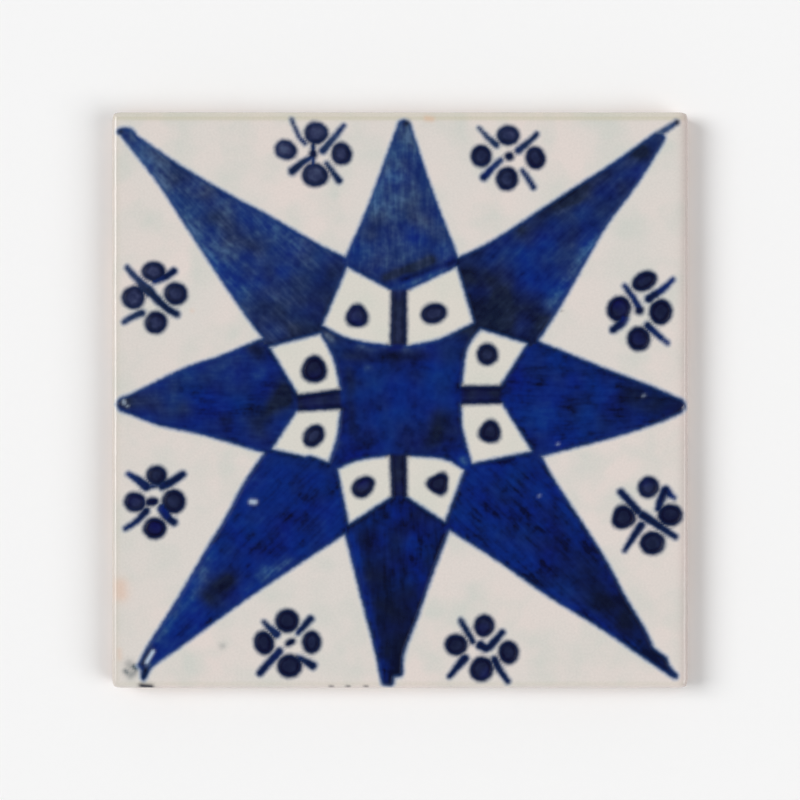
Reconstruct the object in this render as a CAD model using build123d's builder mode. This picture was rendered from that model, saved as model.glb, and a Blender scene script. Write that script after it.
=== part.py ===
from build123d import *
import math
import os

# Square hand-painted wall tile, pressed and fired as one piece, glaze face up.
# The origin is the centre of the bedding plane, and +Z comes out of the glazed face.
# All sizes are in millimetres and angles in degrees.

# Body of the tile: a flat face with cushioned edges
side = 152.0
thickness = 8.0
corner_radius = 1.2
cushion_radius = 1.5
back_chamfer = 0.6

# Keyed back: rows of shallow drafted pockets that the adhesive grips
pocket_count = 8
pocket_depth = 0.9
pocket_draft = 20.0
rib_width = 3.0
back_border = 8.0

# Fired paint: the cobalt stands this high over the white glaze
paint_relief = 0.25

# Eight-pointed star: four straight arms and four longer diagonal arms.
# The tips keep their margins from where the cushioned edge begins.
tip_margin = 0.5
corner_tip_margin = 2.2
notch_radius = 40.0
straight_tip_half_width = 1.7
diagonal_tip_half_width = 1.0
tip_bulge = 0.6
straight_side_sag = 0.2
diagonal_side_sag = 0.9

# White windows, a pair on each straight arm with a painted bar between them.
# Reach is measured from the tile's centre, along the arm or along the diagonal.
bar_width = 4.6
core_reach = 15.4
core_bow = 1.3
chevron_reach = 26.8
notch_band = 3.9
waist_reach = 26.4
waist_width = 3.0
window_dot_radius = 2.9

# Florets, one between each straight arm and the diagonal arm beside it
floret_across = 26.2
floret_margin = 1.4
petal_radius = 2.9
petal_spread_across = 7.4
petal_spread_along = 5.6
eye_radius = 1.2
stroke_start = 2.6
stroke_end = 8.2
stroke_root_width = 1.0
stroke_tip_width = 1.7
stroke_angle = 49.0

os.makedirs("parts", exist_ok=True)

face_height = thickness - paint_relief
flat_half_side = side / 2 - cushion_radius
arm_step = 45.0


def polar_point(radius, angle):
    """Point at a distance from the tile's centre, with the angle from +X."""
    turn = math.radians(angle)
    return (radius * math.cos(turn), radius * math.sin(turn))


def arm_tip(angle, reach, half_width):
    """The two corners of an arm's blunt tip and the rounded end between them."""
    spread = math.degrees(math.atan2(half_width, reach))
    corner_reach = math.hypot(half_width, reach - tip_bulge)
    right = polar_point(corner_reach, angle - spread)
    left = polar_point(corner_reach, angle + spread)
    return right, polar_point(reach, angle), left


# Star outline: sixteen slightly hollow sides and eight rounded blunt tips
with BuildSketch() as star:
    with BuildLine():
        for arm in range(8):
            angle = arm * arm_step
            if arm % 2 == 0:
                reach = flat_half_side - tip_margin
                right, end, left = arm_tip(angle, reach, straight_tip_half_width)
                sag = straight_side_sag
            else:
                reach = flat_half_side * math.sqrt(2) - corner_tip_margin
                right, end, left = arm_tip(angle, reach, diagonal_tip_half_width)
                sag = diagonal_side_sag
            SagittaArc(polar_point(notch_radius, angle - arm_step / 2), right, sag)
            ThreePointArc(right, end, left)
            SagittaArc(left, polar_point(notch_radius, angle + arm_step / 2), sag)
    make_face()

# One window pair on the arm along +Y, each with a painted dot at its middle
with BuildSketch() as window_pair:
    with BuildLine():
        inner = (bar_width / 2, core_reach)
        outer = (bar_width / 2, chevron_reach)
        tip = polar_point(notch_radius - notch_band, 90 - arm_step / 2)
        waist_spread = math.degrees(math.atan2(waist_width / 2, waist_reach))
        waist = polar_point(waist_reach, arm_step + waist_spread)
        Polyline(inner, outer, tip, waist)
        SagittaArc(waist, inner, core_bow)
    make_face()
    with Locations(window_pair.faces()[0].center(CenterOf.MASS)):
        Circle(window_dot_radius, mode=Mode.SUBTRACT)
    mirror(about=Plane.YZ)

# One brush stroke of a floret, widening away from its eye
with BuildSketch() as stroke:
    with BuildLine():
        Polyline(
            (stroke_start, stroke_root_width / 2),
            (stroke_start, -stroke_root_width / 2),
            (stroke_end, -stroke_tip_width / 2),
            (stroke_end, stroke_tip_width / 2),
            close=True,
        )
    make_face()

# One floret: four round petals, an eye and four strokes between the petals
with BuildSketch() as floret:
    with Locations((petal_spread_across, 0), (-petal_spread_across, 0)):
        Circle(petal_radius)
    with Locations((0, petal_spread_along), (0, -petal_spread_along)):
        Circle(petal_radius)
    Circle(eye_radius)
    for turn in (stroke_angle, 180 - stroke_angle, 180 + stroke_angle, -stroke_angle):
        with Locations(Location((0, 0, 0), (0, 0, turn))):
            add(stroke.sketch)

# The whole painted pattern in one sketch on the glaze
floret_reach = flat_half_side - floret_margin - petal_radius - petal_spread_along
with BuildSketch(Plane.XY.offset(face_height)) as pattern:
    add(star.sketch)
    with PolarLocations(0, 4):
        add(window_pair.sketch, mode=Mode.SUBTRACT)
    with PolarLocations(0, 4):
        with Locations((floret_across, floret_reach), (-floret_across, floret_reach)):
            add(floret.sketch)

# The fired tile
with BuildPart() as tile:
    with BuildSketch():
        RectangleRounded(side, side, corner_radius)
    extrude(amount=face_height)
    fillet(tile.faces().sort_by(Axis.Z)[-1].edges(), radius=cushion_radius)
    chamfer(tile.faces().sort_by(Axis.Z)[0].edges(), length=back_chamfer)

    # Pockets of the keyed back, narrower at the bottom so that the press lets go
    pocket_pitch = (side - 2 * back_border + rib_width) / pocket_count
    pocket_side = pocket_pitch - rib_width
    with BuildSketch():
        with GridLocations(pocket_pitch, pocket_pitch, pocket_count, pocket_count):
            Rectangle(pocket_side, pocket_side)
    extrude(amount=pocket_depth, taper=pocket_draft, mode=Mode.SUBTRACT)

    # Painted pattern, fused to the glaze
    extrude(pattern.sketch, amount=paint_relief)

tile.part.label = "tile"
export_step(tile.part, "parts/tile.step")
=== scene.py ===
import math

import bpy
import numpy as np
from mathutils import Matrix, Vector


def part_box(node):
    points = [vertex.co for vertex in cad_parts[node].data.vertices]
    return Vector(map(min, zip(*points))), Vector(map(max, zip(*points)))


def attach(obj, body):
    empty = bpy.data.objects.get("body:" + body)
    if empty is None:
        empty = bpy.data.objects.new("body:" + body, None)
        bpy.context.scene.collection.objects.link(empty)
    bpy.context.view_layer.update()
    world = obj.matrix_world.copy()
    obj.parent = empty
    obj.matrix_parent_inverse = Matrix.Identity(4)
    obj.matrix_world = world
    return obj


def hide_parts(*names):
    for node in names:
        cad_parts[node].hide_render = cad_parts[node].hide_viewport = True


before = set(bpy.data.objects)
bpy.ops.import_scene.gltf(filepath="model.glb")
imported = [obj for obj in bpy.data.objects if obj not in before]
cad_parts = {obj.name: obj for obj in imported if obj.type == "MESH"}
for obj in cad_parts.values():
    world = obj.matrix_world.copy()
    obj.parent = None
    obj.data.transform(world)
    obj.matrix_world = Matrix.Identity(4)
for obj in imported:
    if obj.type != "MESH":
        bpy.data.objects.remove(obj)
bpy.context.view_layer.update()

bl_info = {
    "name": "Painted Star Pool Tile",
    "version": (1, 0, 0),
    "blender": (4, 5, 0),
    "location": "View3D > Sidebar > Star Tile",
    "description": "Builds a hand-painted, tin-glazed pool tile with a cobalt star, and a stage for it",
    "category": "Object",
}

# All shapes below are in millimetres on the tile, x to the right and y up, from the tile's centre.
MM = 0.001
TILE_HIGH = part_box("tile")[1]

# Star outline, once round from the right arm against the clock.
# A run is a smooth line through its points to the next run's first one, and runs meet in a corner.
STAR_RUNS = (
    # right arm
    ((37.5, -14.9), (55.2, -10.3), (66.8, -6.6)),
    ((73.9, -3.7), (75.3, -2.4), (75.3, -0.8)),
    ((74.2, 0.3), (65, 4.3), (55.2, 8)),
    # upper right arm
    ((36.6, 15.6), (42.6, 25), (50.6, 39.2), (55.6, 47.4), (62.6, 56.8)),
    ((69.8, 68.3), (69.9, 69.5), (68.8, 70.3)),
    ((67.3, 70.6), (55.8, 62.4), (44.3, 55.1), (25.3, 42.7)),
    # top arm
    ((15.4, 37.7), (8.7, 55.1)),
    ((3.3, 71.2), (2.8, 72.9), (1.1, 73.9), (-0.5, 73.3)),
    ((-0.9, 71.9), (-8.6, 51)),
    # upper left arm
    ((-14.4, 37.7), (-21.3, 41.1), (-35.4, 49.2), (-43.7, 53.6), (-56.7, 61.2)),
    ((-69.3, 69.8), (-70.4, 71.4), (-72.2, 71.8), (-74, 71.6), (-74.7, 70.6)),
    ((-73.7, 69.7), (-64, 57.2), (-57.5, 47.3), (-48.1, 32.9), (-39.8, 20.8)),
    # left arm
    ((-36.3, 16.4), (-47.8, 11.6), (-57.2, 8.4)),
    ((-71.2, 1.5), (-73.8, 0.6), (-74.9, -1.2), (-73.8, -3)),
    ((-71.5, -3.8), (-62.8, -7), (-52.7, -9.1)),
    # lower left arm
    ((-36, -14), (-40.9, -21.3), (-46.6, -31.8), (-51.3, -39.5), (-58.5, -51.9), (-66.8, -65.1)),
    ((-69.2, -69.9), (-68.4, -71.4), (-68.3, -73.2), (-67.4, -74), (-66.5, -72.9), (-65.6, -71)),
    ((-63.6, -69.2), (-56, -63.9), (-45.2, -56), (-34.7, -48.7)),
    # bottom arm, whose tip has two lobes
    ((-14.6, -35.5), (-10.3, -52.4), (-7, -65.2)),
    ((-5, -74.6), (-4.3, -75.5), (-2.4, -75.6), (-1.6, -74.8)),
    ((-1.4, -73.1), (0.2, -73), (0.9, -72.2)),
    ((0.9, -70.5), (1.4, -66.2), (4.85, -57.2), (8.4, -46.9)),
    # lower right arm
    ((13.1, -34.5), (25, -42.1), (38.6, -51.6), (52.1, -59.9), (63.7, -67.8)),
    ((71.9, -73.4), (73, -73.5)),
    ((73.3, -72.4), (71.1, -69.8), (70.4, -67.8)),
    ((67, -65.2), (64.6, -60.1), (59.5, -51.6), (53.4, -40.4), (41.1, -21.4)),
)
# The eight white windows round the star's middle, each as runs like the star's
WINDOW_RUNS = (
    # top left and top right
    (((-13.9, 34.9),), ((-2.4, 28.8),), ((-2.6, 14.6), (-8.4, 15.25), (-14.4, 16.65)), ((-20.3, 19.7),)),
    (((14.9, 34.95),), ((19.25, 20.5), (10.1, 16.1)), ((1.9, 14.4),), ((1.85, 28.7),)),
    # left, upper and lower
    (((-34.2, 13.9),), ((-26.8, 1.5),), ((-15.8, 2.9), (-17.6, 10.6)), ((-21, 17.4),)),
    (((-33.6, -12.9), (-27, -14.3), (-25, -14.8), (-23.4, -14.6)), ((-18.8, -16.3), (-16.65, -9.3)),
     ((-15.8, -2.45),), ((-27.2, -3.05),)),
    # right, upper and lower
    (((33.3, 14.8),), ((21.3, 18.5), (17.8, 13.4)), ((16.4, 3.8),), ((26.3, 3.85),)),
    (((34.6, -13.45),), ((26.8, -1),), ((16.3, -1.3), (16.6, -7.4)), ((19, -16.6),)),
    # bottom left and bottom right
    (((-13.4, -32.5),), ((-2.3, -25.3),), ((-2.8, -14.75), (-11.2, -16.05)), ((-16.3, -18.3),)),
    (((11.8, -31.9),), ((16.75, -18.55), (11.5, -15.7)), ((1.85, -14.8),), ((1.9, -25.4),)),
)
# Brushed dots: x, y, long radius, short radius, tilt in degrees, three-sidedness, weight, smokiness
WINDOW_DOTS = (
    (-11.3, 22.1, 3.1, 3, 90, 0.06, 0.52, 0.9),
    (8.9, 22.8, 3.5, 2.75, 14, 0.02, 0.56, 1),
    (-22.6, 8, 3.65, 3.4, 90, 0.05, 0.74, 0.9),
    (-22.7, -9.5, 3.3, 2.6, 50, 0, 0.62, 1),
    (23, 12, 2.95, 2.85, 100, 0.02, 0.56, 1),
    (23.7, -8.4, 3.1, 2.95, 80, 0.07, 0.72, 0.9),
    (-9.7, -22.9, 3.35, 2.6, 40, 0.02, 0.70, 0.8),
    (10.1, -22.1, 3, 2.85, 57, 0.13, 0.76, 0.8),
)
PETALS = (
    # top, left of the top arm
    (-22.1, 70.3, 3.2, 3.05, 0, 0.02, 0.30, 1),
    (-15.4, 64.9, 3.1, 2.75, 105, 0.02, 0.42, 1),
    (-22.4, 59.3, 3.6, 3.2, -10, 0.02, 0.38, 1),
    (-30.1, 65.9, 3.05, 2.6, -25, 0.02, 0.28, 1),
    # top, right of the top arm
    (28.5, 69.7, 3.05, 2.7, 0, 0, 0.36, 0.9),
    (35.7, 63.8, 3.1, 2.65, 105, 0, 0.58, 0.9),
    (28.2, 58.3, 3.2, 3, 80, 0, 0.50, 1),
    (21.4, 64.3, 3, 2.8, 90, 0, 0.48, 1),
    # right, above the right arm
    (64.4, 31.3, 3.55, 2.55, 28, 0, 0.66, 0.9),
    (68.7, 23.2, 3.5, 3.1, 80, 0, 0.70, 0.9),
    (62.9, 16.1, 3.3, 3.15, 100, 0, 0.72, 0.9),
    (57.7, 24, 3.5, 3.2, 60, 0, 0.68, 0.8),
    # right, below the right arm
    (65.5, -23, 2.95, 2.8, 60, 0, 0.60, 0.9),
    (71.2, -30.3, 3.4, 3, 0, 0, 0.66, 1),
    (66.5, -37.7, 3.4, 3.2, 0, 0, 0.68, 0.8),
    (58.9, -30.9, 3.3, 3.15, 225, 0.06, 0.70, 1),
    # bottom, right of the bottom arm
    (22.2, -59.5, 3.05, 2.8, 80, 0, 0.62, 0.8),
    (28.6, -66.5, 3.2, 2.75, 95, 0, 0.68, 0.8),
    (21.5, -70.9, 3.4, 3.2, 60, 0, 0.62, 0.8),
    (14.8, -64.5, 3.1, 2.9, 0, 0, 0.66, 0.9),
    # bottom, left of the bottom arm
    (-29.7, -58.2, 3.2, 3.2, 0, 0, 0.70, 1),
    (-23.3, -63.8, 3.1, 2.6, 90, 0, 0.68, 1),
    (-29.1, -70.1, 3.35, 3.2, 0, 0, 0.66, 1),
    (-35.8, -64, 3.3, 2.75, 105, 0, 0.70, 1),
    # left, below the left arm
    (-64.1, -19.9, 2.8, 2.7, 0, 0, 0.56, 0.9),
    (-59.6, -26.7, 3.3, 3.2, 90, 0, 0.64, 1),
    (-64.6, -33.8, 3.15, 2.95, 0, 0, 0.72, 0.8),
    (-69.8, -26.9, 3, 2.7, -10, 0, 0.52, 0.9),
    # left, above the left arm
    (-64.9, 33.8, 3.25, 2.7, 0, 0, 0.50, 1),
    (-59.1, 28, 3.2, 3.05, -20, 0, 0.54, 1),
    (-64.3, 20.4, 3.1, 3, 45, 0, 0.50, 1),
    (-70.2, 27, 3.2, 3.1, 60, 0.03, 0.42, 1),
)
EYES = (
    (-22.9, 64.8, 1.4, 1.1, 90, 0, 0.40, 1),
    (28.8, 64.2, 1.25, 1.15, 0, 0, 0.80, 0.8),
    (63.1, 23.6, 1.25, 1.15, 0, 0, 0.80, 0.6),
    (-28.9, -63.9, 1.5, 0.9, 28, 0, 0.80, 0.7),
    (-65.4, -26.8, 1.9, 1.2, 4, 0, 0.85, 0.8),
)

# Brush strokes: points along the stroke, its widths and weights at the start and the end, smokiness
STROKES = (
    # top, left of the top arm
    (((-28.6, 74), (-27.3, 70.9), (-26.2, 68.8), (-25, 67.7)), (0.8, 1.1), (0.35, 0.6), 1),
    (((-14.9, 72.2), (-17.3, 69.2), (-20.3, 65.7)), (1.1, 2), (0.4, 0.35), 1),
    (((-22.9, 67.6), (-22.9, 62.2)), (1, 1.3), (0.5, 0.35), 1),
    (((-28.3, 60.3), (-26.4, 62), (-23.4, 63.9)), (2.2, 1.3), (0.75, 0.35), 1),
    (((-19.4, 62.3), (-17.6, 59.9), (-16.1, 57.8)), (1.1, 1.7), (0.4, 0.85), 1),
    # top, right of the top arm
    (((20.9, 71.7), (22.1, 70.3), (23.2, 69.1), (25.4, 67.2)), (0.8, 1.6), (0.45, 0.35), 1),
    (((36, 70), (33.7, 67.8), (31.2, 65.8)), (1.2, 1.9), (0.6, 0.4), 1),
    (((26.5, 63.1), (24.7, 61.5), (22.1, 58.7)), (1.4, 1.9), (0.3, 0.8), 0.6),
    (((32.2, 60.4), (33.5, 58.7), (35.1, 56.1)), (1.1, 1.5), (0.6, 0.75), 1),
    # right, above the right arm
    (((59.2, 30), (61.2, 27.3), (63, 24.3)), (1.3, 1.7), (0.65, 0.8), 0.6),
    (((71.9, 31.8), (69.6, 29.5), (65.6, 26.7)), (1.1, 2.3), (0.6, 0.85), 0.6),
    (((58.9, 21.6), (58.2, 20.2), (56.2, 18.5)), (2.7, 1.9), (0.75, 0.95), 0.5),
    (((65.2, 19.6), (67.7, 17.3), (70.5, 15)), (2, 1.1), (0.8, 0.55), 0.6),
    # right, below the right arm
    (((58.2, -24.3), (60.5, -26.8), (62.7, -29.4)), (1.9, 2), (1, 0.95), 0.3),
    (((63.9, -30.3), (66.5, -32), (72.5, -36)), (2.4, 1.6), (0.95, 0.9), 0.4),
    (((68.1, -28.6), (68.7, -26.5), (69.7, -24.1)), (1.9, 2.4), (0.85, 0.9), 0.4),
    (((69.9, -23.9), (72.2, -25.7)), (2.6, 1.1), (0.9, 0.5), 0.4),
    (((63.5, -33.1), (61.3, -36.4), (59.2, -39.6)), (2.2, 1.2), (0.95, 0.95), 0.4),
    # bottom, right of the bottom arm
    (((16.1, -58.2), (17.7, -61.1), (19.3, -63.7)), (1.5, 1.5), (1, 1), 0.6),
    (((21.2, -64.6), (22.7, -65.4), (24.2, -64.4), (26.9, -61.2)), (2.4, 1.6), (1, 1), 0.5),
    (((17, -68.1), (14.9, -70.6), (13.1, -72.8)), (2.4, 1.3), (0.9, 0.95), 0.4),
    (((24.9, -68.5), (26.6, -71.6), (28.4, -74.1)), (2.1, 1.4), (0.9, 1), 0.4),
    # bottom, left of the bottom arm
    (((-35.9, -58.4), (-34.6, -59.9), (-32.6, -61.6)), (1, 2.3), (0.9, 0.65), 0.5),
    (((-23.6, -57.7), (-25.5, -59.8), (-26.8, -61.3)), (1.9, 1.4), (1, 0.7), 0.5),
    (((-31.8, -66.3), (-34.6, -69.3), (-36.9, -71.9)), (2.1, 1.8), (0.75, 0.95), 0.4),
    (((-27.7, -67.9), (-26.2, -68.1), (-23, -70)), (1.1, 2.2), (0.7, 0.95), 0.6),
    # left, below the left arm
    (((-71.5, -19.5), (-68.6, -21.4), (-66.8, -22.7)), (1.3, 2.6), (0.6, 0.85), 0.7),
    (((-57.3, -19.6), (-60.2, -21.5), (-62.5, -22.6)), (1.9, 2.5), (1, 0.8), 0.3),
    (((-66.4, -22.8), (-62.8, -22.4)), (1.2, 1.2), (0.8, 0.8), 0.4),
    (((-66.9, -29.2), (-69.2, -31.8), (-72.3, -33.9)), (2, 1.2), (0.85, 0.75), 0.7),
    (((-62.5, -28.6), (-61.3, -30.8), (-59.6, -32.2)), (2.8, 2), (0.75, 0.95), 0.35),
    # left, above the left arm
    (((-71.9, 34.9), (-69.4, 32), (-66.4, 29.3)), (1.3, 2.1), (0.3, 0.45), 1),
    (((-66.4, 29.3), (-63.9, 26.4), (-61, 23.9), (-58.8, 22.6)), (2.2, 1.7), (0.55, 0.95), 1),
    (((-68, 30.2), (-66, 28.2)), (2.4, 2.2), (0.45, 0.55), 0.9),
    (((-64.6, 31.4), (-61.8, 32.5), (-59.6, 33.9)), (1.8, 1.9), (0.8, 0.95), 0.5),
    (((-68, 22.9), (-70, 22.2), (-72.6, 20.6)), (1.8, 1.3), (0.6, 0.25), 1),
    # thin tail at the end of the upper right arm
    (((67.8, 69.9), (70.6, 71.6), (72.8, 73.1)), (1.5, 1.2), (0, 0.1), 1),
)
# Weight and smokiness of the star's paint at the middle, and at three reaches along each arm.
# Weight runs from 0, a thin watery blue, to 1, nearly black. Smokiness greys the blue.
CORE_PAINT = (0.76, 0.20)
ARM_DEGREES = 45
ARM_REACHES = (32, 58, 86)
ARM_PAINT = (
    # right, upper right, top, upper left, left, lower left, bottom, lower right
    ((0.78, 0.05), (0.82, 0.20), (0.85, 0.60)),
    ((0.73, 0.90), (0.62, 0.30), (0.57, 0.50)),
    ((0.50, 0.55), (0.29, 0.40), (0.26, 0.75)),
    ((0.63, 0.75), (0.36, 0.42), (0.30, 0.60)),
    ((0.74, 0.30), (0.62, 0.25), (0.47, 0.70)),
    ((0.79, 0.03), (0.79, 0.08), (0.66, 0.08)),
    ((0.87, 0.25), (0.94, 0.85), (0.92, 0.80)),
    ((0.82, 0.00), (0.84, 0.15), (0.87, 0.50)),
)

# Brush loads laid over that: the line's two ends, its radius, change of weight, change of smokiness
WASHES = (
    # upper left arm
    (-34, 34, -58, 58, 3, 0.05, 0.15),
    (-43, 27, -70, 66, 3, -0.06, -0.25),
    (-28, 40, -34, 45, 3.5, -0.10, -0.20),
    (-48, 47, -36, 42, 4, 0.05, 0.10),
    (-40.3, 38, -38, 36, 2, 0.12, -0.30),
    (-31.5, 34, -30.5, 33.5, 2, 0.10, -0.40),
    (-32.5, 26.5, -30.5, 25.5, 2.2, -0.10, 0),
    (-39, 31, -37.5, 30, 2, -0.10, 0),
    (-17, 34, -21, 23, 2.6, 0.12, 0.10),
    # top arm
    (-12.5, 40, -5, 58, 3, -0.10, -0.10),
    (10, 40, 4, 60, 3, 0.06, 0),
    (-2.3, 63, -2, 60.5, 2.6, -0.10, -0.10),
    (1.5, 60.5, 3.6, 53.6, 2.6, 0.08, 0.25),
    (6, 41.5, 6.5, 40.5, 3.4, 0.05, -0.25),
    (-3.7, 32.3, 8.4, 36.9, 1.4, 0.12, 0.65),
    (2.4, 30.6, 12, 34.1, 1.1, -0.18, -0.40),
    (0.6, 31.6, 14.6, 36.7, 0.9, 0.40, 0),
    # upper right arm
    (24, 34, 36, 22, 6, 0.03, 0.25),
    (28, 40, 40, 28, 5, -0.02, -0.40),
    (19.5, 31, 22, 21, 3, 0.10, 0),
    (38, 38, 58, 54, 3, 0.03, 0.15),
    (32, 45, 46, 53.5, 2.5, 0.08, 0.40),
    (46, 53.5, 64, 65.5, 2, 0.04, 0.25),
    (52, 43, 39.5, 25, 1.7, -0.34, -0.10),
    (64, 64, 68.5, 68.5, 3.5, 0.04, 0.20),
    (20, 38.5, 62, 65.5, 2.4, 0, 0.20),
    (41.7, 49, 42.3, 49.8, 1.2, -0.18, 0),
    (38.5, 41, 39, 41.6, 1.2, -0.14, 0),
    (46.8, 43.6, 47.2, 44.2, 1.2, -0.12, 0),
    # right arm
    (32.4, 9, 34, 8, 4, 0.04, 0.25),
    (60, 0.5, 74, -1.8, 3.2, 0.05, 0.45),
    (36, -5.5, 45, -2, 3.5, -0.05, 0),
    (48, 8, 62, 4, 2.5, 0, 0.15),
    # lower right arm
    (41.2, -38.2, 60, -58, 4.2, 0.05, 0.30),
    (52, -50, 58.5, -57, 3, 0.02, 0.25),
    (68, -64.5, 70.7, -68.8, 1.8, 0.05, 0.20),
    (40, -51.5, 66, -69, 2, -0.03, -0.30),
    # bottom arm
    (-12.8, -36, -4.2, -73, 1.5, -0.16, -0.60),
    (4, -38, 6.2, -54, 2.6, -0.06, -0.45),
    (-9.4, -36, -8.6, -38, 2.8, 0.04, 0.30),
    (4.4, -30.2, 4.8, -30.8, 2.4, 0.04, 0.25),
    (0, -71.8, 0.2, -68, 1.6, 0.10, 0.30),
    # lower left arm
    (-45.4, -47.2, -50, -51.6, 3.2, 0.12, 0.85),
    (-49.6, -41, -55, -52, 1.8, -0.36, 0),
    (-57.8, -54.8, -63.6, -62.8, 1.2, -0.28, 0.10),
    (-37.5, -21, -36.5, -20.6, 2.2, -0.14, 0.05),
    (-36.6, -46.6, -30, -42.6, 1.9, -0.52, 0.05),
    (-42.3, -52, -39.2, -49, 1.2, -0.30, 0.20),
    (-57.8, -52.9, -57.5, -53.3, 1.2, -0.14, 0.1),
    (-62.1, -60.9, -61.9, -61.3, 1.2, -0.14, 0.1),
    (-67.4, -73.2, -67, -71.8, 1.3, 0.45, 0.8),
    (-68, -69.5, -66, -65, 1, 0.05, 0.6),
    (-66.6, -70.6, -66.2, -70.2, 1, -0.35, 0.3),
    # left arm
    (-40, -9, -62, -4.5, 3, 0.08, 0),
    (-42, 10.5, -60, 5, 2.5, -0.08, 0.05),
    (-40, 0, -50, 0, 4, 0.10, -0.20),
    (-31, 3.2, -37.2, -6.2, 2.6, 0.04, 0.60),
    (-30.5, 1.6, -29.6, 0, 1.6, 0.10, 0.50),
    (-74, -0.8, -72.5, -0.6, 2.4, 0.22, 0.4),
    (-70, -0.3, -58, -2, 3, 0.02, 0.40),
    (-59.9, 4.3, -59.4, 4.3, 1.6, -0.12, 0.1),
    (-43.3, 11.6, -42.9, 11.5, 1.6, -0.12, 0.1),
    (-42, -4.7, -41.6, -4.7, 1.6, -0.12, 0.1),
    (-37.9, 6.8, -37.4, 6.8, 1.5, -0.10, 0.1),
    (-46, -5.2, -45.5, -5.2, 2, 0.12, 0.4),
    (-38.6, 13.4, -37.2, 12.6, 2, 0.05, 0.40),
    # middle
    (-11, 13.9, -4, 13.5, 1.2, -0.24, 0.2),
    (1.5, 13.5, 6, 13.9, 1.1, -0.24, 0.2),
    (-14, 11.4, 7, 11.6, 2, 0.02, 0.55),
    (-8.9, 8.4, -7.9, 8.4, 1.2, -0.46, 0.20),
    (8, -10.5, 11.5, -7, 5.5, 0.03, 0.65),
    (-13.2, 8, -12.8, -8, 1.5, 0.03, 0.45),
    (-18.9, 17, -18.2, 16.3, 1.3, -0.50, 0.3),
    (16.8, -15.7, 17.2, -16.3, 1.3, -0.62, 0.2),
    (-16.8, -12.4, -16.2, -11.4, 1.2, -0.24, 0.3),
)

# Bars between the windows, laid with a second load: inner end, outer end, half width, weight, smokiness
BARS = (
    (-0.3, 14.6, -0.3, 28.9, 3.4, 0.56, 1.00),
    (-0.4, -14.4, -0.3, -25.4, 3.4, 0.70, 1.00),
    (-15.6, 0.3, -27, -0.7, 3.4, 0.68, 1.00),
    (16.2, 1.3, 26.6, 1.4, 3.4, 0.72, 0.80),
)

# Paler bands just inside the painted edge, where the brush was drier: ends, radius, strength
PALE_RIMS = (
    (-72, 67.5, -41, 23, 3, 0.6),
    (-66, 67.5, -22, 42, 2, 0.2),
    (-2, 70, -13, 39, 2, 0.3),
    (4, 69, 15, 39, 1.8, 0.5),
    (68, 66, 58, 50, 2.6, 0.4),
    (56, 47, 41, 22, 2.8, 0.9),
    (-55, -47, -67, -66, 2, 0.5),
    (-16, -36.5, -64, -70, 2.4, 0.6),
    (-14, -37, -8, -60, 2, 0.5),
    (15, -36, 71, -72.5, 2, 0.2),
    (-70, 2, -37, 15.5, 1.8, 0.4),
    (38, -14.5, 72, -4.5, 1.8, 0.2),
    # beside the windows
    (1.5, 13.4, 18.5, 19, 1.6, 1),
    (-4, 13.6, -10, 14.4, 1.6, 0.7),
    (3, 30.2, 13, 35, 1.4, 0.6),
    (-15, 34, -19.5, 22, 1.6, 0.5),
    (-28, -3.6, -33.5, -11.5, 1.6, 0.5),
)
# Small marks of the firing: ends, radius, strength
MARKS = {"bare_spot": (
    (-39.2, -26.8, -38.2, -26.9, 0.6, 0.95),
    (41.5, -11.6, 41.7, -11.6, 0.4, 0.3),
    (36.6, -25.3, 36.8, -25.2, 0.4, 0.25),
    (64, 1.1, 64.4, 1.2, 0.4, 0.25),
    (-72.8, -0.3, -72.6, -0.8, 0.5, 0.6),
    (-71.9, -1.6, -71.7, -1.6, 0.4, 0.4),
    (-66.7, -69, -65.1, -66.3, 0.5, 1),
), "dark_speck": (
    (-68.2, -75.3, -65.6, -75.6, 0.8, 1),
    (-18.4, -75.5, -17.8, -75.5, 0.4, 0.7),
    (-14, -75.5, -13.4, -75.5, 0.4, 0.7),
    (-9.3, -75.5, -8.7, -75.5, 0.4, 0.7),
    (73, 73.1, 73.1, 73.2, 0.6, 0.9),
    (1.6, 72.8, 1.8, 72.9, 0.9, 0.9),
    (-73.7, 70.6, -73.5, 70.7, 0.7, 0.8),
    (42.5, 23.6, 42.8, 23.4, 0.3, 0.4),
), "smear": (
    (-70.2, -70.2, -69.6, -70.8, 0.9, 1),
    (-72.3, -71.4, -71.8, -71.9, 0.8, 0.8),
    (-71.4, -69.6, -70.6, -71.4, 1.3, 0.45),
    (-71, -72.5, -70, -71.8, 1.1, 0.6),
    (-46.9, -64.8, -46.7, -64.8, 0.9, 0.3),
), "iron_stain": (
    (-73.7, -48.8, -73.5, -51.2, 2, 0.40),
    (7, 74.2, 8.4, 74, 0.8, 0.5),
    (-55, 23.6, -54.6, 23.4, 0.5, 0.25),
    (-74, -66, -73.8, -68, 0.8, 0.25),
)}
# Bands along the edges: the side, how far in the middle lies, half its width, strength. Both fields are
# partly painted shade on the cushion
EDGE_BANDS = {"thin_glaze": (
    ("top", 1.7, 0.6, 0.75),
    # Painted shade over the top arris, where the lamps light it
    ("top", 0.6, 0.9, 0.45),
    ("left", 0, 2, 0.20),
    ("left", 1.6, 0.5, 0.25),
    ("bottom", 1.2, 0.5, 0.25),
), "rose_edge": (
    # Painted shade, tinted rosy like the clay under thin glaze: deepest on the right, and darkening the lit
    # left and bottom cushion
    ("right", 0, 1.9, 0.75),
    ("left", 0, 1.1, 0.45),
    ("bottom", 0, 0.9, 0.25),
)}

# Depth where there is no paint, length of the pieces of a smooth line, and what the brush adds to an edge
NO_PAINT = -9.0
OUTLINE_PIECE, STROKE_PIECE = 1.2, 0.8
DOT_SPREAD, STROKE_SPREAD = -0.05, 0.02
DOT_SMOKE = 0.2
# How dark the rim is along the star, a stroke, a bar and a dot
STAR_RIM, STROKE_RIM, BAR_RIM, DOT_RIM = 0.25, 0.35, 0.8, 1.0
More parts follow.
